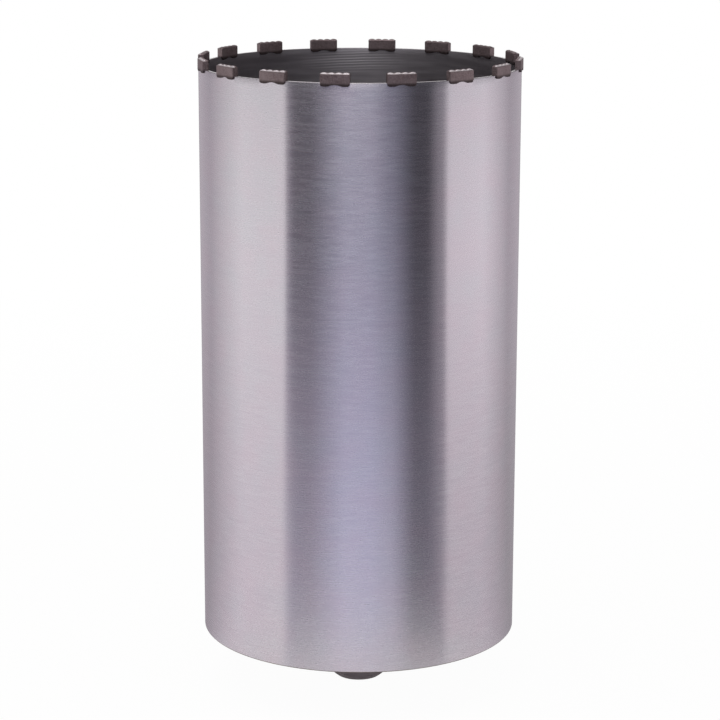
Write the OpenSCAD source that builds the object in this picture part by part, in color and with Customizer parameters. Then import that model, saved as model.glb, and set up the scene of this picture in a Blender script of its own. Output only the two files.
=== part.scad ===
// Diamond core bit for drilling large holes in concrete.
// It stands on its threaded hub with the cutting rim up. The origin is at the centre of the hub's
// end face, and +Z runs along the axis towards the segments. All sizes are in millimetres.

/* [Barrel] */
// Outside diameter of the steel tube
tube_d = 250; // [200:1:300]
// Wall thickness of the tube
tube_wall = 2.5; // [2:0.1:3]
// Length of the tube from its closed end to the rim
tube_h = 452; // [300:1:600]

/* [End plate] */
// Thickness of the plate that closes the tube
plate_t = 10; // [8:0.5:14]
// Width and depth of the bevel on the plate's edge, which the seam weld fills
plate_bevel = 3; // [2:0.5:4]
// Height of the seam weld's cap beyond the plate
seam_cap = 0.6; // [0.3:0.1:1]

/* [Hub] */
// Size of the hexagon across its flats
hub_flats = 41; // [40:1:46]
// Length of the hexagon outside the plate
hub_h = 46; // [40:1:60]
// Diameter of the flat ring on the hub's end
hub_land_d = 35.5; // [34.5:0.1:40]
// Angle of the chamfer round the hub's end, from the end face
hub_chamfer = 38; // [20:1:45]
// Diameter of the spigot that passes through the plate
spigot_d = 36; // [34:0.5:38]
// Minor diameter of the 1 1/4 in 7 UNC thread, which is the bore's wall
thread_minor_d = 28; // [27.8:0.1:28.5]
// Diameter of the countersink at the bore's mouth
mouth_d = 32; // [31.8:0.1:33]
// Diameter of the countersink at the bore's inner end
throat_d = 31; // [29:0.5:32]

/* [Hub weld] */
// Radius of the weld's toe on the plate
weld_toe_r = 29; // [27:0.5:32]
// Height of the weld bead on the hexagon's flats
weld_leg = 8; // [6:0.5:10]
// Radius of the bead's convex face
weld_face_r = 12; // [10:1:20]

/* [Segments] */
// Number of diamond segments on the rim
segment_count = 16; // [12:1:18]
// Angle of the first segment from the -Y direction
segment_phase = -8.4; // [-20:0.1:20]
// Length of a segment along the rim
segment_l = 22; // [20:0.5:26]
// Thickness of a segment
segment_t = 4.8; // [4.4:0.1:6]
// How far a segment stands proud of the tube's outside
segment_relief = 1.2; // [0.7:0.1:1.4]
// Height of a segment's crest above the rim
crest_h = 8; // [6:0.5:10]
// How far the rounded top falls from the crest to the faces
shoulder_drop = 1.6; // [0.8:0.1:2]
// Number of crowns along a segment's top
crown_count = 4; // [3:1:6]
// Depth of the valleys between the crowns
crown_depth = 0.8; // [0.4:0.1:1.2]
// Radius of the top corners at a segment's ends
corner_r = 1.6; // [0.8:0.1:2]

/* [Segment feet] */
// Depth of the feet below the rim, where they sit in pockets
foot_depth = 2.7; // [2.4:0.1:3.6]
// Radius of each foot's outer corner
foot_corner_r = 2; // [1:0.1:2.4]
// Width of the flat under each foot
foot_flat = 3.2; // [2:0.1:4]
// Radius that leads from a foot's flat into the arch
foot_r = 3; // [2.8:0.1:4]
// Depth of the arch between the feet below the rim
arch_depth = 1.5; // [0.8:0.1:2]

/* [Hidden] */
$fn = 96;
tube_r = tube_d / 2;
bore_r = tube_r - tube_wall;
plate_z = hub_h;
rim_z = plate_z + tube_h;
// Extra length that carries a cut past the faces it opens
cut_past = 1;

// Corner radius of the hexagon
hub_corner_r = hub_flats / 2 / cos(30);
chamfer_h = (hub_corner_r - hub_land_d / 2) * tan(hub_chamfer);
hub_top_z = hub_h + plate_t;

// The band that the segments are cut from, seen as a section of the ring
band_r = tube_r + segment_relief;
band_mid_r = band_r - segment_t / 2;
top_r = (pow(segment_t / 2, 2) + pow(shoulder_drop, 2)) / (2 * shoulder_drop);

// The crowns are arcs that meet in the valleys
crown_pitch = segment_l / crown_count;
crown_r = (pow(crown_pitch / 2, 2) + pow(crown_depth, 2)) / (2 * crown_depth);

// Each foot has an outer corner, a flat and an inner round, and the arch's arc touches both rounds
half_l = segment_l / 2;
foot_corner_x = half_l - foot_corner_r;
foot_corner_z = foot_corner_r - foot_depth;
foot_x = foot_corner_x - foot_flat;
foot_z = foot_r - foot_depth;
arch_rise = foot_z + arch_depth;
arch_r = (pow(foot_x, 2) + pow(arch_rise, 2) - pow(foot_r, 2)) / (2 * (foot_r - arch_rise));
touch_x = foot_x * arch_r / (arch_r + foot_r);
touch_z = foot_z - (arch_rise + arch_r) * foot_r / (arch_r + foot_r);

function segment_name(i) = str("segment_", i < 10 ? "0" : "", i);

// Places its children on the rim, at one segment's angle.
module at_segment(i) {
    rotate([0, 0, segment_phase + (i - 1) * 360 / segment_count])
        translate([0, 0, rim_z])
            children();
}

// Upper part of a segment's outline: a block with crowns along the top and rounded corners.
module crown_outline() {
    intersection() {
        union() {
            translate([-half_l, foot_corner_z])
                square([segment_l, crest_h - crown_depth - foot_corner_z]);
            for (k = [0:crown_count - 1])
                translate([(k + 0.5) * crown_pitch - half_l, crest_h - crown_r])
                    circle(r = crown_r);
        }
        union() {
            translate([-half_l, foot_corner_z])
                square([segment_l, crest_h - corner_r - foot_corner_z]);
            translate([corner_r - half_l, foot_corner_z])
                square([segment_l - 2 * corner_r, crest_h - foot_corner_z]);
            for (side = [-1, 1])
                translate([side * (half_l - corner_r), crest_h - corner_r])
                    circle(r = corner_r, $fn = 32);
        }
    }
}

// Lower part of a segment's outline: two feet with an arch between them.
module feet_outline() {
    difference() {
        union() {
            for (side = [-1, 1]) {
                translate([side * foot_x, foot_z])
                    circle(r = foot_r, $fn = 64);
                translate([side * foot_corner_x, foot_corner_z])
                    circle(r = foot_corner_r, $fn = 32);
                translate([side * (foot_x + foot_flat / 2) - foot_flat / 2, -foot_depth])
                    square([foot_flat, foot_r]);
            }
            polygon([
                [-foot_x, foot_z], [-touch_x, touch_z],
                [touch_x, touch_z], [foot_x, foot_z]
            ]);
        }
        translate([0, -arch_depth - arch_r])
            circle(r = arch_r, $fn = 128);
    }
}

// A segment's outline carried radially through the band, with the rim at z = 0.
module segment_prism() {
    translate([0, cut_past - band_r + segment_t, 0])
        rotate([90, 0, 0])
            linear_extrude(height = segment_t + 2 * cut_past) {
                crown_outline();
                feet_outline();
            }
}

// The ring with a rounded top that gives the segments their curve and their thickness.
module segment_band() {
    rotate_extrude()
        intersection() {
            translate([band_mid_r - segment_t / 2, -foot_depth - cut_past])
                square([segment_t, foot_depth + crest_h + 2 * cut_past]);
            union() {
                translate([band_mid_r, crest_h - top_r])
                    circle(r = top_r, $fn = 48);
                translate([band_mid_r - segment_t, -foot_depth - cut_past])
                    square([2 * segment_t, foot_depth + cut_past + crest_h - top_r]);
            }
        }
}

// One diamond segment of sintered metal.
module segment(i) {
    color([0.42, 0.38, 0.37])
        at_segment(i)
            intersection() {
                segment_prism();
                segment_band();
            }
}

// Steel tube whose rim has a pocket for each segment's feet.
module tube() {
    color([0.72, 0.70, 0.73])
        difference() {
            translate([0, 0, plate_z])
                cylinder(r = tube_r, h = tube_h);
            translate([0, 0, plate_z - cut_past])
                cylinder(r = bore_r, h = tube_h + 2 * cut_past);
            for (i = [1:segment_count])
                at_segment(i)
                    segment_prism();
        }
}

// Round plate inside the tube's closed end, with a bevelled edge and a hole for the hub.
module end_plate() {
    color([0.60, 0.58, 0.60])
        translate([0, 0, plate_z])
            difference() {
                rotate_extrude()
                    polygon([
                        [0, 0], [bore_r - plate_bevel, 0],
                        [bore_r, plate_bevel], [bore_r, plate_t], [0, plate_t]
                    ]);
                translate([0, 0, -cut_past])
                    cylinder(d = spigot_d, h = plate_t + 2 * cut_past);
            }
}

// Seam weld that fills the plate's bevel, with a low round cap.
module plate_weld() {
    cap_r = (pow(plate_bevel / 2, 2) + pow(seam_cap, 2)) / (2 * seam_cap);
    color([0.50, 0.48, 0.48])
        translate([0, 0, plate_z])
            rotate_extrude() {
                polygon([[bore_r - plate_bevel, 0], [bore_r, 0], [bore_r, plate_bevel]]);
                intersection() {
                    translate([bore_r - plate_bevel / 2, cap_r - seam_cap])
                        circle(r = cap_r, $fn = 48);
                    translate([bore_r - plate_bevel, -seam_cap])
                        square([plate_bevel, seam_cap]);
                }
            }
}

// Hexagonal prism of the hub, with a flat facing -Y.
module hub_hexagon(h) {
    cylinder(r = hub_corner_r, h = h, $fn = 6);
}

// Turned hub: hexagon with a chamfered end, spigot, and the bore for the thread.
module hub() {
    color([0.33, 0.30, 0.30])
        difference() {
            union() {
                intersection() {
                    hub_hexagon(hub_h);
                    rotate_extrude()
                        polygon([
                            [0, 0], [hub_land_d / 2, 0], [hub_corner_r, chamfer_h],
                            [hub_corner_r + cut_past, chamfer_h + cut_past * tan(hub_chamfer)],
                            [hub_corner_r + cut_past, hub_h], [0, hub_h]
                        ]);
                }
                cylinder(d = spigot_d, h = hub_top_z);
            }
            translate([0, 0, -cut_past])
                cylinder(d = thread_minor_d, h = hub_top_z + 2 * cut_past);
            hub_countersink(mouth_d);
            translate([0, 0, hub_top_z])
                mirror([0, 0, 1])
                    hub_countersink(throat_d);
        }
}

// A 45 degree countersink that opens downwards at z = 0.
module hub_countersink(d) {
    depth = (d - thread_minor_d) / 2;
    translate([0, 0, -cut_past])
        cylinder(d1 = d + 2 * cut_past, d2 = thread_minor_d, h = depth + cut_past);
}

// Weld bead round the hexagon where it meets the plate.
module hub_weld() {
    flat_r = hub_flats / 2;
    // The bead's convex face runs through its toe on the plate and its toe on a flat
    toe_gap = [weld_toe_r - flat_r, weld_leg];
    chord = norm(toe_gap);
    bulge = weld_face_r - sqrt(pow(weld_face_r, 2) - pow(chord / 2, 2));
    out = [weld_leg, -toe_gap[0]] / chord;
    mid = [(weld_toe_r + flat_r) / 2, -weld_leg / 2];
    centre = mid - out * (weld_face_r - bulge);
    color([0.45, 0.43, 0.43])
        translate([0, 0, plate_z])
            difference() {
                rotate_extrude()
                    intersection() {
                        translate(centre)
                            circle(r = weld_face_r);
                        translate([thread_minor_d / 2, -weld_leg])
                            square([weld_toe_r - thread_minor_d / 2, weld_leg]);
                    }
                translate([0, 0, -weld_leg - cut_past])
                    hub_hexagon(weld_leg + 2 * cut_past);
            }
}

tube();
end_plate();
plate_weld();
hub();
hub_weld();
for (i = [1:segment_count])
    segment(i);
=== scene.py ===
"""Diamond core bit for drilling large holes in concrete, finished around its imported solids.

The bit stands on its threaded hub with the cutting rim up. A brushed steel barrel carries sintered
segments in the pockets of its rim. A turned plate, a hexagonal hub and two weld beads close its
lower end. Sizes of the bit are in millimetres, those of the light tent, the lamp and the floor are in
metres, and every other size comes from the frame.
"""
import logging
import math
from abc import ABC, abstractmethod
from dataclasses import dataclass, field
from enum import Enum

import bmesh
import bpy
from mathutils import Matrix, Vector, noise


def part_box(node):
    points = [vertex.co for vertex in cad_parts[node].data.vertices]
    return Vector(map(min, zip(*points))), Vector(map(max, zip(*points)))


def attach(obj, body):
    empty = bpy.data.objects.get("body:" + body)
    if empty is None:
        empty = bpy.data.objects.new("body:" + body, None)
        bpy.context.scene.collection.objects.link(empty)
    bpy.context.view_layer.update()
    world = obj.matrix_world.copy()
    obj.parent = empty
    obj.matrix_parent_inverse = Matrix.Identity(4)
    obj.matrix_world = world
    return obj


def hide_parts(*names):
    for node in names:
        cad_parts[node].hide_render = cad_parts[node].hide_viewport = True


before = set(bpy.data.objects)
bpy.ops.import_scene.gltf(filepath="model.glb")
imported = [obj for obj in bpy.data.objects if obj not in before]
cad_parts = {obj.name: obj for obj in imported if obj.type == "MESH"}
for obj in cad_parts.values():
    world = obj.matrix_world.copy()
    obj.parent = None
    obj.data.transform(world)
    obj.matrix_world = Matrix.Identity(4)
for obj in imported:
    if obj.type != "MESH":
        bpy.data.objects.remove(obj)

MM = 0.001
MERGE = 0.001 * MM
BODY = "root"
SEGMENTS = sorted(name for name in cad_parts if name.startswith("segment_"))

# The mesh layer that says how much pale tint each part of a segment gets, partly rubbed wear and partly
# painted highlight
CREST_WEAR_AND_HIGHLIGHT_LAYER = "crest_wear_and_highlight"

# Sockets of the Mix node, by number because several share a name
FACTOR = 0
NUMBER_A, NUMBER_B = 2, 3
COLOUR_A, COLOUR_B = 6, 7
MIXED = 2

# Nearly all of a noise texture lies between these values
NOISE_LOW, NOISE_HIGH = 0.3, 0.7

# Length of one band of the wave texture at a scale of 1
WAVE_BAND = math.pi / 10

# Facets across each rounded edge
ROUND_STEPS = 3

log = logging.getLogger("core_bit")

Tree = bpy.types.NodeTree
Socket = bpy.types.NodeSocket
Shape = bmesh.types.BMesh
Piece = bpy.types.Object


class Surface(Enum):
    """Material slots of the barrel, by how each surface was made, and a darker one for its foot."""

    BRUSHED = 0
    BORE = 1
    CUT = 2
    DARK_FOOT = 3


class Carving(Enum):
    """What one solid does to another."""

    CUT = "DIFFERENCE"
    JOIN = "UNION"
    TRIM = "INTERSECT"


def linear(colour: str) -> tuple[float, float, float, float]:
    """Turns an sRGB hex colour into linear light.

    Args:
        colour: the colour as # and six hex digits.

    Returns:
        Red, green, blue and an alpha of 1.
    """
    channels = [int(colour[i:i + 2], 16) / 255 for i in (1, 3, 5)]
    light = [c / 12.92 if c <= 0.04045 else ((c + 0.055) / 1.055) ** 2.4 for c in channels]
    return light[0], light[1], light[2], 1.0


def add_node(tree: Tree, kind: str, inputs: dict | None = None, **settings) -> bpy.types.Node:
    """Adds a shader node with its settings and links.

    Args:
        tree: the node tree.
        kind: the node's type, without its ShaderNode prefix.
        inputs: a value, a hex colour or another node's output for each input, by name or number.
        settings: the node's own properties.

    Returns:
        The new node.
    """
    node = tree.nodes.new("ShaderNode" + kind)
    for key, value in settings.items():
        setattr(node, key, value)
    for key, value in (inputs or {}).items():
        if isinstance(value, Socket):
            tree.links.new(value, node.inputs[key])
        else:
            node.inputs[key].default_value = linear(value) if isinstance(value, str) else value
    return node


def grain(tree: Tree, size: tuple[float, float, float], detail: float = 2.0) -> Socket:
    """Adds noise whose grains have a real size.

    Args:
        tree: the node tree.
        size: the grains' size along X, Y and Z, in millimetres.
        detail: how many finer layers the noise has.

    Returns:
        A value from 0 to 1 that uses the whole range.
    """
    place = add_node(tree, "TexCoord").outputs["Object"]
    scaled = add_node(tree, "Mapping", {"Vector": place, "Scale": [1 / (s * MM) for s in size]})
    speckle = add_node(tree, "TexNoise", {"Vector": scaled.outputs[0], "Scale": 1.0, "Detail": detail})
    spread = add_node(
        tree, "MapRange", {"Value": speckle.outputs[0], "From Min": NOISE_LOW, "From Max": NOISE_HIGH})
    return spread.outputs[0]


@dataclass(frozen=True)
class Finish(ABC):
    """A surface of one real material, made in one way. It varies between two colours and roughnesses."""

    name: str
    light: str
    dark: str
    smooth: float
    rough: float

    def material(self) -> bpy.types.Material:
        """Makes the finish's material, the first time that it is asked for.

        Returns:
            The material.
        """
        made = bpy.data.materials.get(self.name)
        if made is None:
            made = bpy.data.materials.new(self.name)
            made.use_nodes = True
            tree = made.node_tree
            tree.nodes.clear()
            add_node(tree, "OutputMaterial", {"Surface": self.shade(tree)})
        return made

    @abstractmethod
    def shade(self, tree: Tree) -> Socket:
        """Builds the finish's nodes.

        Args:
            tree: the node tree.

        Returns:
            The shader's output.
        """

    def tone(self, tree: Tree, share: Socket) -> Socket:
        """Returns the finish's own colour, dark where the share is 0 and light where it is 1."""
        tones = add_node(tree, "Mix", {
            FACTOR: share, COLOUR_A: self.dark, COLOUR_B: self.light}, data_type="RGBA")
        return tones.outputs[MIXED]

    def metal(self, tree: Tree, colour: Socket, wear: Socket, relief: Socket | None = None,
              depth: float = 0.0, more: dict | None = None) -> Socket:
        """Builds the shader of a metal surface.

        Args:
            tree: the node tree.
            colour: the metal's colour.
            wear: 0 where the surface is smooth and 1 where it is rough.
            relief: height of its marks from 0 to 1, where they are deep enough to show.
            depth: depth of the marks in millimetres.
            more: further inputs of the shader.

        Returns:
            The shader's output.
        """
        roughness = add_node(tree, "MapRange", {"Value": wear, "To Min": self.smooth, "To Max": self.rough})
        inputs = {"Base Color": colour, "Metallic": 1.0, "Roughness": roughness.outputs[0]}
        if relief is not None:
            bump = add_node(tree, "Bump", {"Height": relief, "Distance": depth * MM})
            inputs["Normal"] = bump.outputs[0]
        return add_node(tree, "BsdfPrincipled", inputs | (more or {})).outputs[0]


@dataclass(frozen=True)
class BrushedSteel(Finish):
    """Low-carbon steel tube, ground and brushed round its outside.

    The brush leaves short lines round the barrel. They stretch reflections up and down it, and
    keep their upright edges crisp.
    """

    name: str = "brushed_tube_steel"
    light: str = "#EEE8EE"
    dark: str = "#DCD4DC"
    warm: str = "#ECDCE4"
    cool: str = "#E0E4E8"
    line_length: float = 14.0
    line_pitch: float = 1.1
    line_depth: float = 0.013
    stroke_length: float = 30.0
    stroke_pitch: float = 2.6
    stroke_share: float = 0.35
    haze_size: float = 24.0
    haze_share: float = 0.25
    smooth: float = 0.25
    rough: float = 0.29
    stretch: float = 1.0
    quarter_turn: float = 0.25

    def shade(self, tree: Tree) -> Socket:
        """Builds the brushed finish. The lines are drawn coarser than real ones, which would not show.

        Args:
            tree: the node tree.

        Returns:
            The shader's output.
        """
        lines = grain(tree, (self.line_length, self.line_length, self.line_pitch))
        strokes = grain(tree, (self.stroke_length, self.stroke_length, self.stroke_pitch))
        clouds = grain(tree, (self.haze_size,) * 3)
        marks = add_node(tree, "Mix", {FACTOR: self.stroke_share, NUMBER_A: lines, NUMBER_B: strokes})
        haze = add_node(
            tree, "Mix", {FACTOR: clouds, COLOUR_A: self.warm, COLOUR_B: self.cool}, data_type="RGBA")
        colour = add_node(tree, "Mix", {
            FACTOR: self.haze_share,
            COLOUR_A: self.tone(tree, marks.outputs[0]),
            COLOUR_B: haze.outputs[MIXED],
        }, data_type="RGBA")
        round_barrel = add_node(tree, "Tangent", direction_type="RADIAL", axis="Z")
        return self.metal(tree, colour.outputs[MIXED], marks.outputs[0], marks.outputs[0], self.line_depth, {
            "Anisotropic": self.stretch,
            "Anisotropic Rotation": self.quarter_turn,
            "Tangent": round_barrel.outputs[0],
        })


@dataclass(frozen=True)
class BoreSteel(Finish):
    """Inside of the rolled tube, left dark by the mill, with a patch of chatter ripples below the rim whose
    crests carry a painted highlight.
    """

    name: str = "rolled_bore_steel"
    light: str = "#C4BEC2"
    dark: str = "#B0AAAE"
    # Near-white tint painted on the ripples' crests as a painted highlight
    wear_and_highlight_tint: str = "#FFFAFC"
    scale_length: float = 40.0
    scale_pitch: float = 3.0
    ripple_pitch: float = 2.2
    ripple_slant: float = 1.6
    ripple_depth: float = 0.03
    ripple_waver: float = 1.4
    waver_scale: float = 0.2
    crest_start: float = 0.45
    crest_end: float = 0.9
    patch_reach: tuple[float, float, float] = (46.0, 60.0, 11.0)
    patch_side: float = -6.0
    patch_drop: float = 10.0
    smooth: float = 0.46
    rough: float = 0.54

    def shade(self, tree: Tree) -> Socket:
        """Builds the dull bore. The ripples slant a little, as the tool that left them crept along. Their
        crests are painted near white, a painted highlight.

        Args:
            tree: the node tree.

        Returns:
            The shader's output.
        """
        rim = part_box("tube")[1]
        place = add_node(tree, "TexCoord").outputs["Object"]
        near = add_node(tree, "Mapping", {
            "Vector": place,
            "Location": (self.patch_side * MM, rim.y, rim.z - self.patch_drop * MM),
            "Scale": [reach * MM for reach in self.patch_reach],
        }, vector_type="TEXTURE")
        patch = add_node(tree, "TexGradient", {"Vector": near.outputs[0]}, gradient_type="SPHERICAL")
        slanted = add_node(
            tree, "Mapping", {"Vector": place, "Rotation": (0.0, math.radians(self.ripple_slant), 0.0)})
        waves = add_node(tree, "TexWave", {
            "Vector": slanted.outputs[0],
            "Scale": WAVE_BAND / (self.ripple_pitch * MM),
            "Distortion": self.ripple_waver,
            "Detail Scale": self.waver_scale,
        }, bands_direction="Z")
        crests = add_node(tree, "MapRange", {
            "Value": waves.outputs["Fac"],
            "From Min": self.crest_start,
            "From Max": self.crest_end,
        }, interpolation_type="SMOOTHSTEP")
        ripples = add_node(
            tree, "Math", {0: patch.outputs["Fac"], 1: crests.outputs[0]}, operation="MULTIPLY").outputs[0]
        scale = grain(tree, (self.scale_length, self.scale_length, self.scale_pitch))
        # Inside the patch the ripples' crests are painted near white, a painted highlight; their bumps are
        # real relief
        colour = add_node(tree, "Mix", {
            FACTOR: ripples, COLOUR_A: self.tone(tree, scale), COLOUR_B: self.wear_and_highlight_tint}, data_type="RGBA")
        return self.metal(tree, colour.outputs[MIXED], scale, ripples, self.ripple_depth)


@dataclass(frozen=True)
class CutSteel(Finish):
    """Freshly cut steel of the rim and its pockets, bright with fine tool marks."""

    name: str = "cut_rim_steel"
    light: str = "#D2CCCE"
    dark: str = "#A8A0A4"
    mark_size: float = 0.8
    smooth: float = 0.26
    rough: float = 0.38

    def shade(self, tree: Tree) -> Socket:
        """Builds the cut edge.

        Args:
            tree: the node tree.

        Returns:
            The shader's output.
        """
        marks = grain(tree, (self.mark_size,) * 3)
        return self.metal(tree, self.tone(tree, marks), marks)


@dataclass(frozen=True)
class SinteredMetal(Finish):
    """Bronze and cobalt powder pressed hot with diamond grit: warm grey-brown, matt and grainy.

    The pores and the stones scatter part of the light, so it is less of a mirror than solid metal.
    """

    name: str = "sintered_segment_metal"
    light: str = "#8A797A"
    dark: str = "#68595B"
    grit: str = "#9C8E90"
    # Darker tone low on the segment, where it sits in the pocket
    dark_at_seat: str = "#332A2A"
    # Pale crest tint: partly rubbed wear, partly painted highlight
    wear_and_highlight_tint: str = "#F2E9EC"
    edge_tint: str = "#E0D8D8"
    powder_size: float = 1.1
    powder_detail: float = 4.0
    grit_size: float = 0.9
    grit_share: float = 0.6
    stone_core: float = 0.16
    stone_edge: float = 0.26
    patch_size: float = 7.0
    patch_share: float = 0.35
    grain_depth: float = 0.06
    smooth: float = 0.32
    rough: float = 0.46
    seat_share: float = 0.85
    seat_start: float = 1.6
    seat_end: float = 0.6
    wear_and_highlight_share: float = 0.95
    metal_share: float = 0.6

    def shade(self, tree: Tree) -> Socket:
        """Builds the sintered finish, darker low down where it sits in the brazed pockets, and pale on the
        crest's outer side, partly rubbed wear and partly painted highlight.

        The grit is drawn larger than the real 0.4 mm, so that it shows.

        Args:
            tree: the node tree.

        Returns:
            The shader's output.
        """
        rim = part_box("tube")[1].z
        powder = grain(tree, (self.powder_size,) * 3, self.powder_detail)
        patches = grain(tree, (self.patch_size,) * 3)
        place = add_node(tree, "TexCoord").outputs["Object"]
        cells = add_node(tree, "TexVoronoi", {"Vector": place, "Scale": 1 / (self.grit_size * MM)})
        stones = add_node(tree, "MapRange", {
            "Value": cells.outputs["Distance"],
            "From Min": self.stone_core,
            "From Max": self.stone_edge,
            "To Min": self.grit_share,
            "To Max": 0.0,
        }).outputs[0]
        pale = add_node(tree, "Math", {0: patches, 1: self.patch_share}, operation="MULTIPLY").outputs[0]
        height = add_node(tree, "SeparateXYZ", {0: place}).outputs["Z"]
        # Darker towards the bottom, from a little above the rim down into the pocket
        seat = add_node(tree, "MapRange", {
            "Value": height,
            "From Min": rim - self.seat_start * MM,
            "From Max": rim + self.seat_end * MM,
            "To Min": self.seat_share,
            "To Max": 0.0,
        }, interpolation_type="SMOOTHSTEP").outputs[0]
        # Pale tint on the crest's outer side, partly rubbed wear and partly painted highlight
        crest = add_node(tree, "Attribute", attribute_name=CREST_WEAR_AND_HIGHLIGHT_LAYER).outputs["Fac"]
        crest_wear_and_highlight = add_node(tree, "Math", {0: crest, 1: self.wear_and_highlight_share}, operation="MULTIPLY").outputs[0]
        colour = self.tone(tree, powder)
        for share, tint in ((pale, self.grit), (stones, self.grit), (seat, self.dark_at_seat), (crest_wear_and_highlight, self.wear_and_highlight_tint)):
            layer = add_node(
                tree, "Mix", {FACTOR: share, COLOUR_A: colour, COLOUR_B: tint}, data_type="RGBA")
            colour = layer.outputs[MIXED]
        return self.metal(tree, colour, powder, powder, self.grain_depth, {
            "Metallic": self.metal_share,
            "Specular Tint": self.edge_tint,
        })


@dataclass(frozen=True)
class MilledHubSteel(Finish):
    """Turned and milled hub steel, oiled dark grey-brown, with its edges rubbed brighter."""

    name: str = "milled_hub_steel"
    light: str = "#AEA5A9"
    dark: str = "#8F858A"
    wear_and_highlight_tint: str = "#D2CACC"
    mark_length: float = 9.0
    mark_pitch: float = 0.6
    mark_depth: float = 0.01
    edge_width: float = 0.7
    edge_samples: int = 4
    edge_start: float = 0.97
    edge_full: float = 0.85
    edge_share: float = 0.7
    smooth: float = 0.36
    rough: float = 0.5

    def shade(self, tree: Tree) -> Socket:
        """Builds the hub's finish, with tool marks across the flats and bright edges where it turns.

        Args:
            tree: the node tree.

        Returns:
            The shader's output.
        """
        marks = grain(tree, (self.mark_length, self.mark_length, self.mark_pitch))
        soft = add_node(tree, "Bevel", {"Radius": self.edge_width * MM}, samples=self.edge_samples)
        plain = add_node(tree, "NewGeometry").outputs["Normal"]
        turn = add_node(tree, "VectorMath", {0: soft.outputs[0], 1: plain}, operation="DOT_PRODUCT")
        edges = add_node(tree, "MapRange", {
            "Value": turn.outputs["Value"],
            "From Min": self.edge_start,
            "From Max": self.edge_full,
            "To Min": 0.0,
            "To Max": self.edge_share,
        })
        steel = self.tone(tree, marks)
        colour = add_node(
            tree, "Mix", {FACTOR: edges.outputs[0], COLOUR_A: steel, COLOUR_B: self.wear_and_highlight_tint}, data_type="RGBA")
        return self.metal(tree, colour.outputs[MIXED], marks, marks, self.mark_depth)


@dataclass(frozen=True)
class FacedPlateSteel(Finish):
    """Plate faced on a lathe, with fine rings round its centre, dulled by handling."""

    name: str = "faced_plate_steel"
    light: str = "#A09A9B"
    dark: str = "#7F797B"
    ring_pitch: float = 1.2
    ring_depth: float = 0.015
    stain_size: float = 22.0
    stain_detail: float = 4.0
    smooth: float = 0.3
    rough: float = 0.48

    def shade(self, tree: Tree) -> Socket:
        """Builds the lathe's rings. They are drawn coarser than the real feed, so that they show.

        Args:
            tree: the node tree.

        Returns:
            The shader's output.
        """
        place = add_node(tree, "TexCoord").outputs["Object"]
        flat = add_node(tree, "VectorMath", {0: place, 1: (1.0, 1.0, 0.0)}, operation="MULTIPLY")
        radius = add_node(tree, "VectorMath", {0: flat.outputs[0]}, operation="LENGTH").outputs["Value"]
        turns = add_node(
            tree, "Math", {0: radius, 1: math.tau / (self.ring_pitch * MM)}, operation="MULTIPLY")
        rings = add_node(tree, "Math", {0: turns.outputs[0]}, operation="SINE").outputs[0]
        stains = grain(tree, (self.stain_size,) * 3, self.stain_detail)
        return self.metal(tree, self.tone(tree, stains), stains, rings, self.ring_depth)


@dataclass(frozen=True)
class WeldSteel(Finish):
    """Weld bead wire-brushed after welding, with straw heat tints left in its ripples."""

    name: str = "brushed_weld_steel"
    light: str = "#8E8785"
    dark: str = "#5F5959"
    straw: str = "#86745A"
    tint_size: float = 11.0
    tint_share: float = 0.6
    pit_size: float = 0.7
    pit_detail: float = 4.0
    pit_depth: float = 0.05
    smooth: float = 0.3
    rough: float = 0.5

    def shade(self, tree: Tree) -> Socket:
        """Builds the bead's finish, pitted and tinted.

        Args:
            tree: the node tree.

        Returns:
            The shader's output.
        """
        pits = grain(tree, (self.pit_size,) * 3, self.pit_detail)
        tints = grain(tree, (self.tint_size,) * 3)
        heat = add_node(tree, "Math", {0: tints, 1: self.tint_share}, operation="MULTIPLY")
        colour = add_node(tree, "Mix", {
            FACTOR: heat.outputs[0], COLOUR_A: self.tone(tree, pits), COLOUR_B: self.straw}, data_type="RGBA")
        return self.metal(tree, colour.outputs[MIXED], pits, pits, self.pit_depth)


def new_piece(name: str, shape: Shape) -> Piece:
    """Makes an object at the origin from a bmesh.

    Args:
        name: the object's name.
        shape: the bmesh, which is freed.

    Returns:
        The object, linked to the scene.
    """
    mesh = bpy.data.meshes.new(name)
    shape.to_mesh(mesh)
    shape.free()
    piece = bpy.data.objects.new(name, mesh)
    bpy.context.collection.objects.link(piece)
    return piece


def apply_modifiers(piece: Piece) -> None:
    """Makes a piece's modifiers part of its mesh.

    Args:
        piece: the piece, which is left without modifiers.
    """
    graph = bpy.context.evaluated_depsgraph_get()
    mesh = bpy.data.meshes.new_from_object(piece.evaluated_get(graph))
    rough = piece.data
    piece.modifiers.clear()
    piece.data = mesh
    bpy.data.meshes.remove(rough)


def carve(piece: Piece, tool: Piece, carving: Carving) -> None:
    """Cuts, joins or trims a piece with another solid, and cleans the seam that this leaves.

    Args:
        piece: the piece that changes.
        tool: the other solid, which is deleted.
        carving: what the tool does.
    """
    modifier = piece.modifiers.new("carving", "BOOLEAN")
    modifier.operation = carving.value
    modifier.solver = "EXACT"
    modifier.object = tool
    apply_modifiers(piece)
    bpy.data.objects.remove(tool)
    shape = bmesh.new()
    shape.from_mesh(piece.data)
    bmesh.ops.remove_doubles(shape, verts=shape.verts, dist=MERGE)
    bmesh.ops.dissolve_degenerate(shape, edges=shape.edges, dist=MERGE)
    shape.to_mesh(piece.data)
    shape.free()


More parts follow.
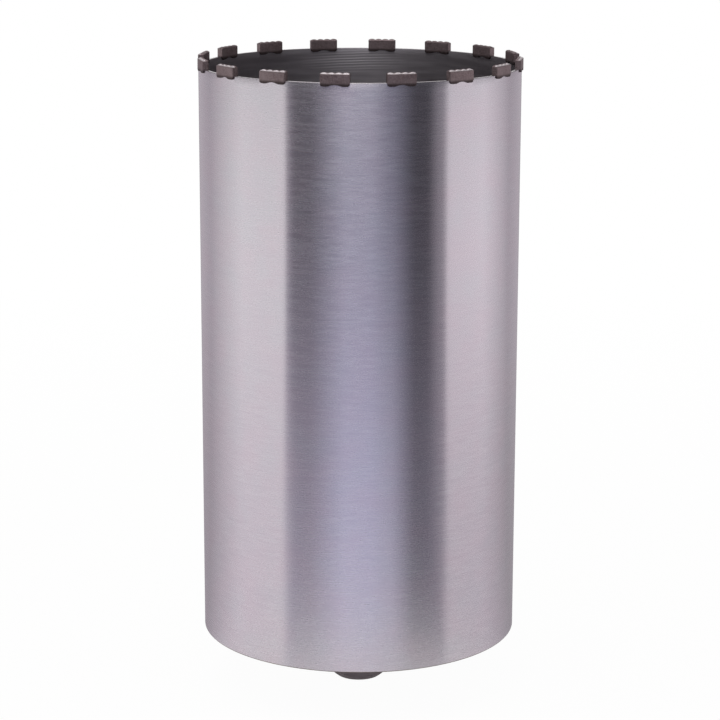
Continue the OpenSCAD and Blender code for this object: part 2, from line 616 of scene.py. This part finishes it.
def turned(profile: list[tuple[float, float]], steps: int) -> Shape:
    """Turns a closed profile round the Z axis.

    Args:
        profile: radius and height of each corner, in metres, in order round the section.
        steps: how many facets the full turn has.

    Returns:
        The closed solid, with its faces outwards.
    """
    shape = bmesh.new()
    corners = [shape.verts.new((radius, 0.0, height)) for radius, height in profile]
    sides = [shape.edges.new(pair) for pair in zip(corners, corners[1:] + corners[:1])]
    bmesh.ops.spin(
        shape, geom=corners + sides, axis=(0, 0, 1), cent=(0, 0, 0), angle=math.tau, steps=steps,
        use_merge=True)
    bmesh.ops.remove_doubles(shape, verts=shape.verts, dist=MERGE)
    bmesh.ops.recalc_face_normals(shape, faces=shape.faces)
    return shape


def sharp_edges(shape: Shape, limit: float = 40.0) -> list[bmesh.types.BMEdge]:
    """Returns the edges of a bmesh that turn by more than the limit, in degrees."""
    turn = math.radians(limit)
    return [edge for edge in shape.edges if len(edge.link_faces) == 2 and edge.calc_face_angle() > turn]


def round_edges(shape: Shape, edges: list[bmesh.types.BMEdge], width: float) -> None:
    """Rounds edges of a bmesh.

    Args:
        shape: the bmesh.
        edges: the edges to round.
        width: width of the rounding, in metres.
    """
    bmesh.ops.bevel(
        shape, geom=edges, affect="EDGES", offset=width, offset_type="OFFSET",
        segments=ROUND_STEPS, profile=0.5, material=-1, clamp_overlap=True)


def cad_copy(nodes: list[str]) -> Shape:
    """Copies the meshes of CAD nodes and merges their loose triangles.

    Args:
        nodes: the nodes' names.

    Returns:
        All of them as one bmesh.
    """
    shape = bmesh.new()
    for node in nodes:
        shape.from_mesh(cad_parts[node].data)
    bmesh.ops.remove_doubles(shape, verts=shape.verts, dist=MERGE)
    return shape


def smooth(piece: Piece, crease: float = 35.0) -> None:
    """Shades a piece smooth, apart from edges sharper than the crease angle in degrees."""
    piece.data.shade_smooth()
    piece.data.set_sharp_from_angle(angle=math.radians(crease))


def dress(piece: Piece, finishes: list[Finish], nodes: list[str]) -> None:
    """Gives a piece its finishes and its place in the frame.

    Args:
        piece: the finished piece.
        finishes: its finishes, in the order of its material slots.
        nodes: the CAD nodes that the piece stands for.
    """
    piece.data.materials.clear()
    for finish in finishes:
        piece.data.materials.append(finish.material())
    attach(piece, BODY)
    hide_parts(*nodes)
    log.info("%s: %d faces in place of %s", piece.name, len(piece.data.polygons), ", ".join(nodes))


@dataclass
class Barrel:
    """Thin-walled steel tube with pockets in its rim for the segments' feet."""

    wall: float = 2.5
    steps: int = 384
    edge_break: float = 0.25
    foot_break: float = 0.7
    pocket_band: float = 6.0
    tolerance: float = 0.05
    facing_limit: float = 0.99
    finishes: list[Finish] = field(
        default_factory=lambda: [BrushedSteel(), BoreSteel(), CutSteel(), WeldSteel()])

    def build(self) -> Piece:
        """Turns the tube, rounds its edges, most at its outer foot, and cuts its pockets.

        Returns:
            The barrel.
        """
        lowest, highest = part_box("tube")
        outer = highest.x
        inner = outer - self.wall * MM
        band_z = highest.z - self.pocket_band * MM
        shape = turned([
            (inner, lowest.z), (outer, lowest.z), (outer, band_z),
            (outer, highest.z), (inner, highest.z), (inner, band_z),
        ], self.steps)
        middle_r = (inner + outer) / 2
        foot = [
            edge for edge in sharp_edges(shape)
            if all(vert.co.z < band_z and vert.co.xy.length > middle_r for vert in edge.verts)]
        round_edges(shape, foot, self.foot_break * MM)
        round_edges(shape, sharp_edges(shape), self.edge_break * MM)
        piece = new_piece("barrel", shape)
        carve(piece, new_piece("pocket_tool", cad_copy(SEGMENTS)), Carving.CUT)
        self.sort_surfaces(piece, outer, inner)
        return piece

    def sort_surfaces(self, piece: Piece, outer: float, inner: float) -> None:
        """Gives each face of the barrel the slot of the way that it was made.

        The foot gets the weld bead's darker finish.

        Args:
            piece: the barrel.
            outer: outside radius in metres.
            inner: bore radius in metres.
        """
        near = self.tolerance * MM
        foot_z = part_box("tube")[0].z + self.foot_break * MM
        for _ in Surface:
            piece.data.materials.append(None)
        for face in piece.data.polygons:
            away = Vector((face.center.x, face.center.y, 0.0))
            facing = face.normal.dot(away.normalized())
            if facing > self.facing_limit and away.length > outer - near:
                face.material_index = Surface.BRUSHED.value
            elif facing < -self.facing_limit and away.length < inner + near:
                face.material_index = Surface.BORE.value
            # The rounded foot and the bottom face take the weld bead's darker finish
            elif face.center.z < foot_z:
                face.material_index = Surface.DARK_FOOT.value
            else:
                face.material_index = Surface.CUT.value

    def make(self) -> None:
        """Builds and dresses the barrel."""
        piece = self.build()
        smooth(piece)
        slots = [face.material_index for face in piece.data.polygons]
        dress(piece, self.finishes, ["tube"])
        piece.data.polygons.foreach_set("material_index", slots)


@dataclass
class Segments:
    """Diamond segments of sintered metal, with soft edges and a pressed grain."""

    voxel: float = 0.28
    softening: int = 1
    dimple_size: float = 1.6
    dimple_depth: float = 0.06
    dimple_fall: float = 0.7
    dimple_step: float = 2.0
    dimple_layers: int = 3
    crest_depth: float = 1.6
    crest_lean: float = 1.0
    crest_sharpness: float = 1.6
    # Where on the crest the pale tint goes, partly rubbed wear and partly painted highlight
    wear_and_highlight_start: float = 1.15
    wear_and_highlight_end: float = 0.45
    wear_and_highlight_from: float = 0.45
    wear_and_highlight_to: float = 0.6
    finish: Finish = SinteredMetal()

    def build(self, node: str) -> Piece:
        """Makes one segment from its CAD solid.

        Args:
            node: the segment's CAD node.

        Returns:
            The segment, remeshed fine enough to hold its grain.
        """
        piece = new_piece("diamond_" + node, cad_copy([node]))
        remesh = piece.modifiers.new("press", "REMESH")
        remesh.mode = "VOXEL"
        remesh.voxel_size = self.voxel * MM
        apply_modifiers(piece)
        shape = bmesh.new()
        shape.from_mesh(piece.data)
        for _ in range(self.softening):
            bmesh.ops.smooth_vert(
                shape, verts=shape.verts, factor=0.5, use_axis_x=True, use_axis_y=True, use_axis_z=True)
        shape.normal_update()
        for vert in shape.verts:
            place = vert.co / (self.dimple_size * MM)
            dimple = 0.5 + noise.fractal(place, self.dimple_fall, self.dimple_step, self.dimple_layers)
            vert.co -= vert.normal * self.dimple_depth * MM * min(1.0, max(0.0, dimple))
        self.wear_crest(shape)
        shape.to_mesh(piece.data)
        shape.free()
        return piece

    def wear_crest(self, shape: Shape) -> None:
        """Wears the crest as cutting does: deeper valleys, and lower towards the outside, where it is also
        marked for a pale tint that is partly rubbed wear and partly painted highlight.

        Args:
            shape: the segment's bmesh, which also gets a layer that says how much of that pale tint, wear and
                painted highlight, each vertex gets.
        """
        crest_wear_and_highlight = shape.verts.layers.float.new(CREST_WEAR_AND_HIGHLIGHT_LAYER)
        top = max(vert.co.z for vert in shape.verts)
        radii = [vert.co.xy.length for vert in shape.verts]
        inner, outer = min(radii), max(radii)
        for vert, radius in zip(shape.verts, radii):
            depth = (top - vert.co.z) / MM
            across = (radius - inner) / (outer - inner)
            high = min(1.0, max(0.0, (self.wear_and_highlight_start - depth) / (self.wear_and_highlight_start - self.wear_and_highlight_end)))
            outside = min(1.0, max(0.0, (across - self.wear_and_highlight_from) / (self.wear_and_highlight_to - self.wear_and_highlight_from)))
            vert[crest_wear_and_highlight] = high * outside
            raised = max(0.0, 1 - depth / self.crest_depth)
            valley = self.crest_depth * (raised - raised ** self.crest_sharpness)
            vert.co.z -= (valley + self.crest_lean * raised * across) * MM

    def make(self) -> None:
        """Builds and dresses every segment."""
        for node in SEGMENTS:
            piece = self.build(node)
            piece.data.shade_smooth()
            dress(piece, [self.finish], [node])


@dataclass
class Hub:
    """Hexagonal hub with a chamfered end, a spigot, and a bore tapped 1 1/4 in 7 UNC."""

    land_d: float = 35.5
    chamfer: float = 38.0
    spigot_d: float = 36.0
    thread_minor_d: float = 28.0
    thread_major_d: float = 31.75
    thread_pitch: float = 25.4 / 7
    mouth_d: float = 32.0
    throat_d: float = 31.0
    thread_flank: float = 30.0
    tap_inside: float = 0.4
    corner_break: float = 0.5
    crease: float = 28.0
    steps: int = 96
    finish: Finish = MilledHubSteel()

    def blank(self) -> Piece:
        """Turns and mills the hub without its bore.

        Returns:
            The hexagon with its chamfer, joined to the spigot.
        """
        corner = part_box("hub")[1].x
        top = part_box("hub")[1].z
        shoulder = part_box("end_plate")[0].z
        land = self.land_d / 2 * MM
        rise = (corner - land) * math.tan(math.radians(self.chamfer))
        past = corner - land
        hexagon = bmesh.new()
        bmesh.ops.create_cone(
            hexagon, cap_ends=True, segments=6, radius1=corner, radius2=corner, depth=shoulder)
        bmesh.ops.rotate(hexagon, verts=hexagon.verts, matrix=self.turn_hexagon(hexagon))
        bmesh.ops.translate(hexagon, verts=hexagon.verts, vec=(0, 0, shoulder / 2))
        uprights = [e for e in hexagon.edges if abs(e.verts[0].co.z - e.verts[1].co.z) > MERGE]
        bmesh.ops.bevel(
            hexagon, geom=uprights, affect="EDGES", offset=self.corner_break * MM, offset_type="OFFSET",
            segments=ROUND_STEPS, profile=0.5, material=-1)
        piece = new_piece("threaded_hub", hexagon)
        cone = turned([
            (0, 0), (land, 0), (corner + past, rise * 2), (corner + past, shoulder * 2), (0, shoulder * 2),
        ], self.steps)
        carve(piece, new_piece("chamfer_tool", cone), Carving.TRIM)
        spigot_r = self.spigot_d / 2 * MM
        spigot = turned([(0, shoulder / 2), (spigot_r, shoulder / 2), (spigot_r, top), (0, top)], self.steps)
        carve(piece, new_piece("spigot", spigot), Carving.JOIN)
        return piece

    @staticmethod
    def turn_hexagon(hexagon: Shape) -> Matrix:
        """Returns the rotation that puts a corner of the hexagon on the X axis."""
        corner = max(hexagon.verts, key=lambda vert: vert.co.x)
        return Matrix.Rotation(-math.atan2(corner.co.y, corner.co.x), 3, "Z")

    def bore(self) -> Piece:
        """Makes the drill, the bore at the thread's minor diameter with a countersink at each end.

        Returns:
            The solid that cuts the bore.
        """
        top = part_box("hub")[1].z
        minor = self.thread_minor_d / 2 * MM
        mouth = self.mouth_d / 2 * MM
        throat = self.throat_d / 2 * MM
        past = MM
        return new_piece("drill", turned([
            (0, -past), (mouth + past, -past), (minor, mouth - minor),
            (minor, top - (throat - minor)), (throat + past, top + past), (0, top + past),
        ], self.steps))

    def tap(self) -> Piece:
        """Makes the tap, a helical rib with the thread's 60 degree form and a tip an eighth of its pitch.

        It runs at least a turn past each end of the hub.

        Returns:
            The solid that cuts the thread's groove.
        """
        pitch = self.thread_pitch * MM
        tip = self.thread_major_d / 2 * MM
        root = (self.thread_minor_d / 2 - self.tap_inside) * MM
        tip_half = pitch / 8 / 2
        root_half = tip_half + (tip - root) * math.tan(math.radians(self.thread_flank))
        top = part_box("hub")[1].z
        turns = math.ceil(top / pitch) + 2
        shape = bmesh.new()
        section = [(root, -root_half), (tip, -tip_half), (tip, tip_half), (root, root_half)]
        corners = [shape.verts.new((radius, 0.0, height - pitch)) for radius, height in section]
        face = shape.faces.new(corners)
        steps = turns * self.steps // 2
        bmesh.ops.spin(
            shape, geom=[face], axis=(0, 0, 1), cent=(0, 0, 0), angle=math.tau * turns, steps=steps,
            dvec=(0, 0, turns * pitch / steps), use_duplicate=False)
        bmesh.ops.remove_doubles(shape, verts=shape.verts, dist=MERGE)
        bmesh.ops.recalc_face_normals(shape, faces=shape.faces)
        return new_piece("tap", shape)

    def make(self) -> None:
        """Builds and dresses the hub."""
        piece = self.blank()
        carve(piece, self.bore(), Carving.CUT)
        carve(piece, self.tap(), Carving.CUT)
        smooth(piece, self.crease)
        dress(piece, [self.finish], ["hub"])


@dataclass
class Welds:
    """The two weld beads at the barrel's closed end, laid as overlapping ripples."""

    face_r: float = 12.0
    ripple_pitch: float = 2.4
    ripple_depth: float = 0.28
    ripple_lag: float = 0.12
    ripple_sharpness: int = 3
    wander_size: float = 6.0
    wander_share: float = 0.2
    seam_pitch: float = 2.0
    seam_depth: float = 0.15
    seam_cap: float = 0.6
    arc_points: int = 10
    steps_per_ripple: int = 8
    finish: Finish = WeldSteel()

    @staticmethod
    def arc(start: Vector, end: Vector, radius: float, points: int) -> list[tuple[float, float]]:
        """Lays points on an arc that bulges to the right of the way from start to end.

        Args:
            start: first point, as radius and height in metres.
            end: last point.
            radius: the arc's radius in metres.
            points: how many points the arc has, with both ends.

        Returns:
            The points, as radius and height.
        """
        chord = end - start
        right = Vector((chord.y, -chord.x)).normalized()
        centre = (start + end) / 2 - right * math.sqrt(radius ** 2 - (chord.length / 2) ** 2)
        first = math.atan2(start.y - centre.y, start.x - centre.x)
        sweep = 2 * math.asin(chord.length / 2 / radius)
        angles = [first + sweep * k / (points - 1) for k in range(points)]
        return [(centre.x + radius * math.cos(a), centre.y + radius * math.sin(a)) for a in angles]

    def ripple(self, shape: Shape, radius: float, pitch: float, depth: float, top: float) -> None:
        """Presses ripples into a bead, curved back where the bead leaves its middle.

        Args:
            shape: the bead.
            radius: the bead's middle radius in metres.
            pitch: distance from ripple to ripple in metres.
            depth: the ripples' depth in metres.
            top: height of the face that the bead lies on.
        """
        count = round(math.tau * radius / pitch)
        shape.normal_update()
        for vert in shape.verts:
            if vert.co.z > top - MERGE:
                continue
            distance = math.hypot(vert.co.x, vert.co.y)
            around = math.atan2(vert.co.y, vert.co.x) * count / math.tau
            lag = ((distance - radius) / pitch) ** 2 * self.ripple_lag
            wander = noise.noise(vert.co / (self.wander_size * MM)) * self.wander_share
            phase = (around + lag + wander) % 1.0
            vert.co -= vert.normal * depth * abs(math.cos(math.pi * phase)) ** self.ripple_sharpness

    def make_hub_bead(self) -> None:
        """Builds and dresses the bead round the hub's hexagon."""
        lowest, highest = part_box("hub_weld")
        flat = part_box("hub")[1].y
        toe = Vector((highest.x, highest.z))
        foot = Vector((flat, lowest.z))
        face = self.arc(foot, toe, self.face_r * MM, self.arc_points)
        inside = flat - MM
        ripples = round(math.tau * (flat + highest.x) / 2 / (self.ripple_pitch * MM))
        shape = turned([(inside, lowest.z)] + face + [(inside, highest.z)], ripples * self.steps_per_ripple)
        self.ripple(shape, (flat + highest.x) / 2, self.ripple_pitch * MM, self.ripple_depth * MM, highest.z)
        piece = new_piece("hub_weld_bead", shape)
        carve(piece, new_piece("hexagon_tool", cad_copy(["hub"])), Carving.CUT)
        smooth(piece)
        dress(piece, [self.finish], ["hub_weld"])

    def make_seam(self) -> None:
        """Builds and dresses the seam that fills the plate's bevel."""
        lowest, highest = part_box("plate_weld")
        plate_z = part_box("end_plate")[0].z
        outer = highest.x
        width = highest.z - plate_z
        inner = outer - width
        cap_r = ((width / 2) ** 2 + (self.seam_cap * MM) ** 2) / (2 * self.seam_cap * MM)
        cap = self.arc(Vector((inner, plate_z)), Vector((outer, plate_z)), cap_r, self.arc_points // 2)
        middle = (inner + outer) / 2
        ripples = round(math.tau * middle / (self.seam_pitch * MM))
        shape = turned(cap + [(outer, highest.z)], ripples * self.steps_per_ripple // 2)
        self.ripple(shape, middle, self.seam_pitch * MM, self.seam_depth * MM, plate_z)
        piece = new_piece("seam_weld_bead", shape)
        smooth(piece)
        dress(piece, [self.finish], ["plate_weld"])

    def make(self) -> None:
        """Builds and dresses both beads."""
        self.make_hub_bead()
        self.make_seam()


@dataclass
class EndPlate:
    """Turned plate that closes the barrel. Its CAD solid is right as it is and only gets its finish."""

    finish: Finish = FacedPlateSteel()

    def make(self) -> None:
        """Dresses the plate's CAD node."""
        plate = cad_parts["end_plate"]
        plate.data.materials.clear()
        plate.data.materials.append(self.finish.material())
        log.info("%s: CAD node with its finish", plate.name)


@dataclass
class Light:
    """One soft lamp, by its place and the length of its side in metres."""

    name: str
    place: tuple[float, float, float]
    size: float
    watts: float

    def make(self) -> None:
        """Hangs the lamp and aims it at the bit's middle."""
        lamp = bpy.data.lights.new(self.name, "AREA")
        lamp.shape = "SQUARE"
        lamp.size = self.size
        lamp.energy = self.watts
        holder = bpy.data.objects.new(self.name, lamp)
        holder.location = self.place
        aim = Vector((0.0, 0.0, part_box("tube")[1].z / 2)) - holder.location
        holder.rotation_euler = aim.to_track_quat("-Z", "Y").to_euler()
        bpy.context.collection.objects.link(holder)


class Level(Enum):
    """Levels of the light tent, each named as the field of a panel that colours it."""

    FLOOR = "floor"
    WALL = "wall"
    UPPER = "upper"
    ROOF = "roof"


@dataclass(frozen=True)
class TentPanel:
    """A stretch of the light tent, by azimuth in degrees from -Y towards +X.

    It has a colour for each level of the tent, and fades over to the next panel.
    """

    name: str
    start: float
    end: float
    floor: str
    wall: str
    upper: str
    roof: str = "#5C5C60"


@dataclass(frozen=True)
class TentRing:
    """A ring of the light tent's cloth, by its radius and height in metres."""

    radius: float
    height: float
    level: Level


@dataclass
class Studio:
    """Camera, floor, lamps and the light tent that the metal reflects.

    The camera's place is in millimetres and the rest in metres.
    """

    camera_back: float = 1887.9
    camera_up: float = 706.0
    camera_tilt: float = 13.207
    camera_roll: float = -0.15
    camera_turn: float = 0.018
    lens: float = 121.82
    sensor: float = 36.0
    floor_size: float = 12.0
    floor_paint: str = "#EDEBEA"
    fade_start: float = 0.5
    fade_end: float = 1.6
    tent_forward: float = 0.06
    tent_steps: int = 360
    ambient: float = 0.6
    lift: float = 0.97
    floor_on_metal: float = 0.15
    lamps: list[Light] = field(default_factory=lambda: [
        Light("overhead_softbox", (-0.5, -0.6, 2.6), 2.0, 24.0),
    ])
    rings: list[TentRing] = field(default_factory=lambda: [
        TentRing(0.18, 0.002, Level.FLOOR),
        TentRing(0.6, 0.012, Level.FLOOR),
        TentRing(1.5, 0.03, Level.WALL),
        TentRing(2.4, 0.05, Level.WALL),
        TentRing(2.4, 0.55, Level.WALL),
        TentRing(2.4, 0.7, Level.UPPER),
        TentRing(2.4, 4.0, Level.UPPER),
        TentRing(0.4, 4.0, Level.ROOF),
    ])
    panels: list[TentPanel] = field(default_factory=lambda: [
        TentPanel("back", -180, -172, "#7E7A7E", "#9A969A", "#FFFFFF"),
        TentPanel("back_left", -160, -130, "#A8A2A8", "#BAB4BA", "#505050"),
        TentPanel("left_softbox", -90, -53, "#DCD6DC", "#FFFFFF", "#3C3C3E"),
        TentPanel("left_step", -50, -48.5, "#B0ACBC", "#5E5A66", "#58585C"),
        TentPanel("left_flag", -46, -34, "#A6A2B2", "#020206", "#5C5C60"),
        TentPanel("front_fill", -10, 8, "#C4C4DE", "#646678", "#D8D8DC"),
        TentPanel("right_fill", 20, 22, "#BEBED2", "#505262", "#9898A0"),
        TentPanel("right_flag", 38, 48, "#7A7884", "#141418", "#5C5C60"),
        TentPanel("right_step", 56, 60, "#84808C", "#969298", "#58585C"),
        TentPanel("right_softbox", 63, 96, "#C6C0C6", "#FFFBFF", "#3C3C3E"),
        TentPanel("back_right", 130, 160, "#A4A0A4", "#B8B2B8", "#505050"),
        TentPanel("back", 172, 180, "#7E7A7E", "#9A969A", "#FFFFFF"),
    ])

    def hang_camera(self) -> None:
        """Sets the camera at the photograph's viewing angle."""
        camera = bpy.data.cameras.new("camera")
        camera.lens = self.lens
        camera.sensor_width = self.sensor
        holder = bpy.data.objects.new("camera", camera)
        holder.location = (0.0, -self.camera_back * MM, self.camera_up * MM)
        turns = (90 - self.camera_tilt, self.camera_roll, self.camera_turn)
        holder.rotation_euler = [math.radians(turn) for turn in turns]
        bpy.context.collection.objects.link(holder)
        bpy.context.scene.camera = holder

    def seen_rays(self, tree: Tree, on_metal: float = 1.0) -> Socket:
        """Tells the rays that show the background from those that only light the bit.

        Args:
            tree: the node tree.
            on_metal: how much of the background metal and glass show.

        Returns:
            1 for rays from the camera, and on_metal for those that metal or glass sends on.
        """
        path = add_node(tree, "LightPath").outputs
        sent_on = add_node(
            tree, "Math", {0: path["Is Glossy Ray"], 1: path["Is Transmission Ray"]}, operation="MAXIMUM")
        shown = add_node(tree, "Math", {0: sent_on.outputs[0], 1: on_metal}, operation="MULTIPLY")
        every = add_node(tree, "Math", {0: path["Is Camera Ray"], 1: shown.outputs[0]}, operation="MAXIMUM")
        return every.outputs[0]

    def light_world(self) -> None:
        """Makes a white backdrop that lights the bit more softly than it looks."""
        world = bpy.data.worlds.new("white_backdrop")
        world.use_nodes = True
        tree = world.node_tree
        tree.nodes.clear()
        strength = add_node(
            tree, "MapRange", {"Value": self.seen_rays(tree), "To Min": self.ambient, "To Max": 1.0})
        background = add_node(tree, "Background", {"Color": "#FFFFFF", "Strength": strength.outputs[0]})
        add_node(tree, "OutputWorld", {"Surface": background.outputs[0]})
        bpy.context.scene.world = world

    def lay_floor(self) -> None:
        """Lays a pale floor that keeps the bit's shadow and fades to white further out."""
        shape = bmesh.new()
        bmesh.ops.create_grid(shape, x_segments=1, y_segments=1, size=self.floor_size / 2)
        floor = new_piece("floor", shape)
        material = bpy.data.materials.new("pale_floor")
        material.use_nodes = True
        tree = material.node_tree
        tree.nodes.clear()
        place = add_node(tree, "TexCoord").outputs["Object"]
        away = add_node(tree, "VectorMath", {0: place}, operation="LENGTH").outputs["Value"]
        far = add_node(tree, "MapRange", {
            "Value": away,
            "From Min": self.fade_start,
            "From Max": self.fade_end,
            "To Min": self.lift,
            "To Max": 1.0,
        })
        seen = self.seen_rays(tree, self.floor_on_metal)
        amount = add_node(tree, "Math", {0: seen, 1: far.outputs[0]}, operation="MULTIPLY")
        paint = add_node(tree, "BsdfDiffuse", {"Color": self.floor_paint})
        white = add_node(tree, "Emission", {"Color": "#FFFFFF"})
        mixed = add_node(tree, "MixShader", {0: amount.outputs[0], 1: paint.outputs[0], 2: white.outputs[0]})
        add_node(tree, "OutputMaterial", {"Surface": mixed.outputs[0]})
        floor.data.materials.append(material)

    def cloth_colour(self, azimuth: float, level: Level) -> list[float]:
        """Works out the colour of the tent's cloth, which fades from each panel to the next.

        Args:
            azimuth: direction from the bit in degrees, from -Y towards +X.
            level: the level of the tent.

        Returns:
            The linear colour with its alpha.
        """
        stops = []
        for panel in self.panels:
            colour = linear(getattr(panel, level.value))
            stops += [(panel.start, colour), (panel.end, colour)]
        for (a, first), (b, second) in zip(stops, stops[1:]):
            if azimuth <= b:
                share = max(0.0, (azimuth - a) / (b - a))
                return [x + (y - x) * share for x, y in zip(first, second)]
        return list(stops[-1][1])

    def pitch_tent(self) -> None:
        """Pitches the tent and its roof, which only the metal's reflections see.

        Its innermost ring lies a little in front of the bit.
        """
        shape = bmesh.new()
        corners = [shape.verts.new((ring.radius, 0.0, ring.height)) for ring in self.rings]
        sides = [shape.edges.new(pair) for pair in zip(corners, corners[1:])]
        bmesh.ops.spin(
            shape, geom=corners + sides, axis=(0, 0, 1), cent=(0, 0, 0), angle=math.tau,
            steps=self.tent_steps, use_merge=True)
        tent = new_piece("light_tent", shape)
        glow = tent.data.color_attributes.new("glow", "FLOAT_COLOR", "POINT")
        for vert, cell in zip(tent.data.vertices, glow.data):
            place = Vector((vert.co.xy.length, vert.co.z))
            ring = min(self.rings, key=lambda ring: (place - Vector((ring.radius, ring.height))).length)
            cell.color = self.cloth_colour(math.degrees(math.atan2(vert.co.x, -vert.co.y)), ring.level)
            if ring is self.rings[0]:
                vert.co.y -= self.tent_forward
        material = bpy.data.materials.new("tent_cloth")
        material.use_nodes = True
        tree = material.node_tree
        tree.nodes.clear()
        colour = add_node(tree, "Attribute", attribute_name="glow").outputs["Color"]
        cloth = add_node(tree, "Emission", {"Color": colour})
        add_node(tree, "OutputMaterial", {"Surface": cloth.outputs[0]})
        tent.data.materials.append(material)
        tent.visible_camera = False
        tent.visible_diffuse = False
        tent.visible_transmission = False
        tent.visible_shadow = False

    def make(self) -> None:
        """Sets up the camera and the whole set."""
        self.hang_camera()
        self.light_world()
        self.lay_floor()
        self.pitch_tent()
        for lamp in self.lamps:
            lamp.make()
        bpy.context.scene.view_settings.view_transform = "Standard"
        log.info("studio: %d lamps, camera at %.1f mm", len(self.lamps), self.lens)


def main() -> None:
    """Builds the studio and the bit."""
    logging.basicConfig(level=logging.INFO, format="%(name)s: %(message)s")
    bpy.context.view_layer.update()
    for part in (Studio(), Barrel(), Segments(), Hub(), Welds(), EndPlate()):
        part.make()


if __name__ == "__main__":
    main()
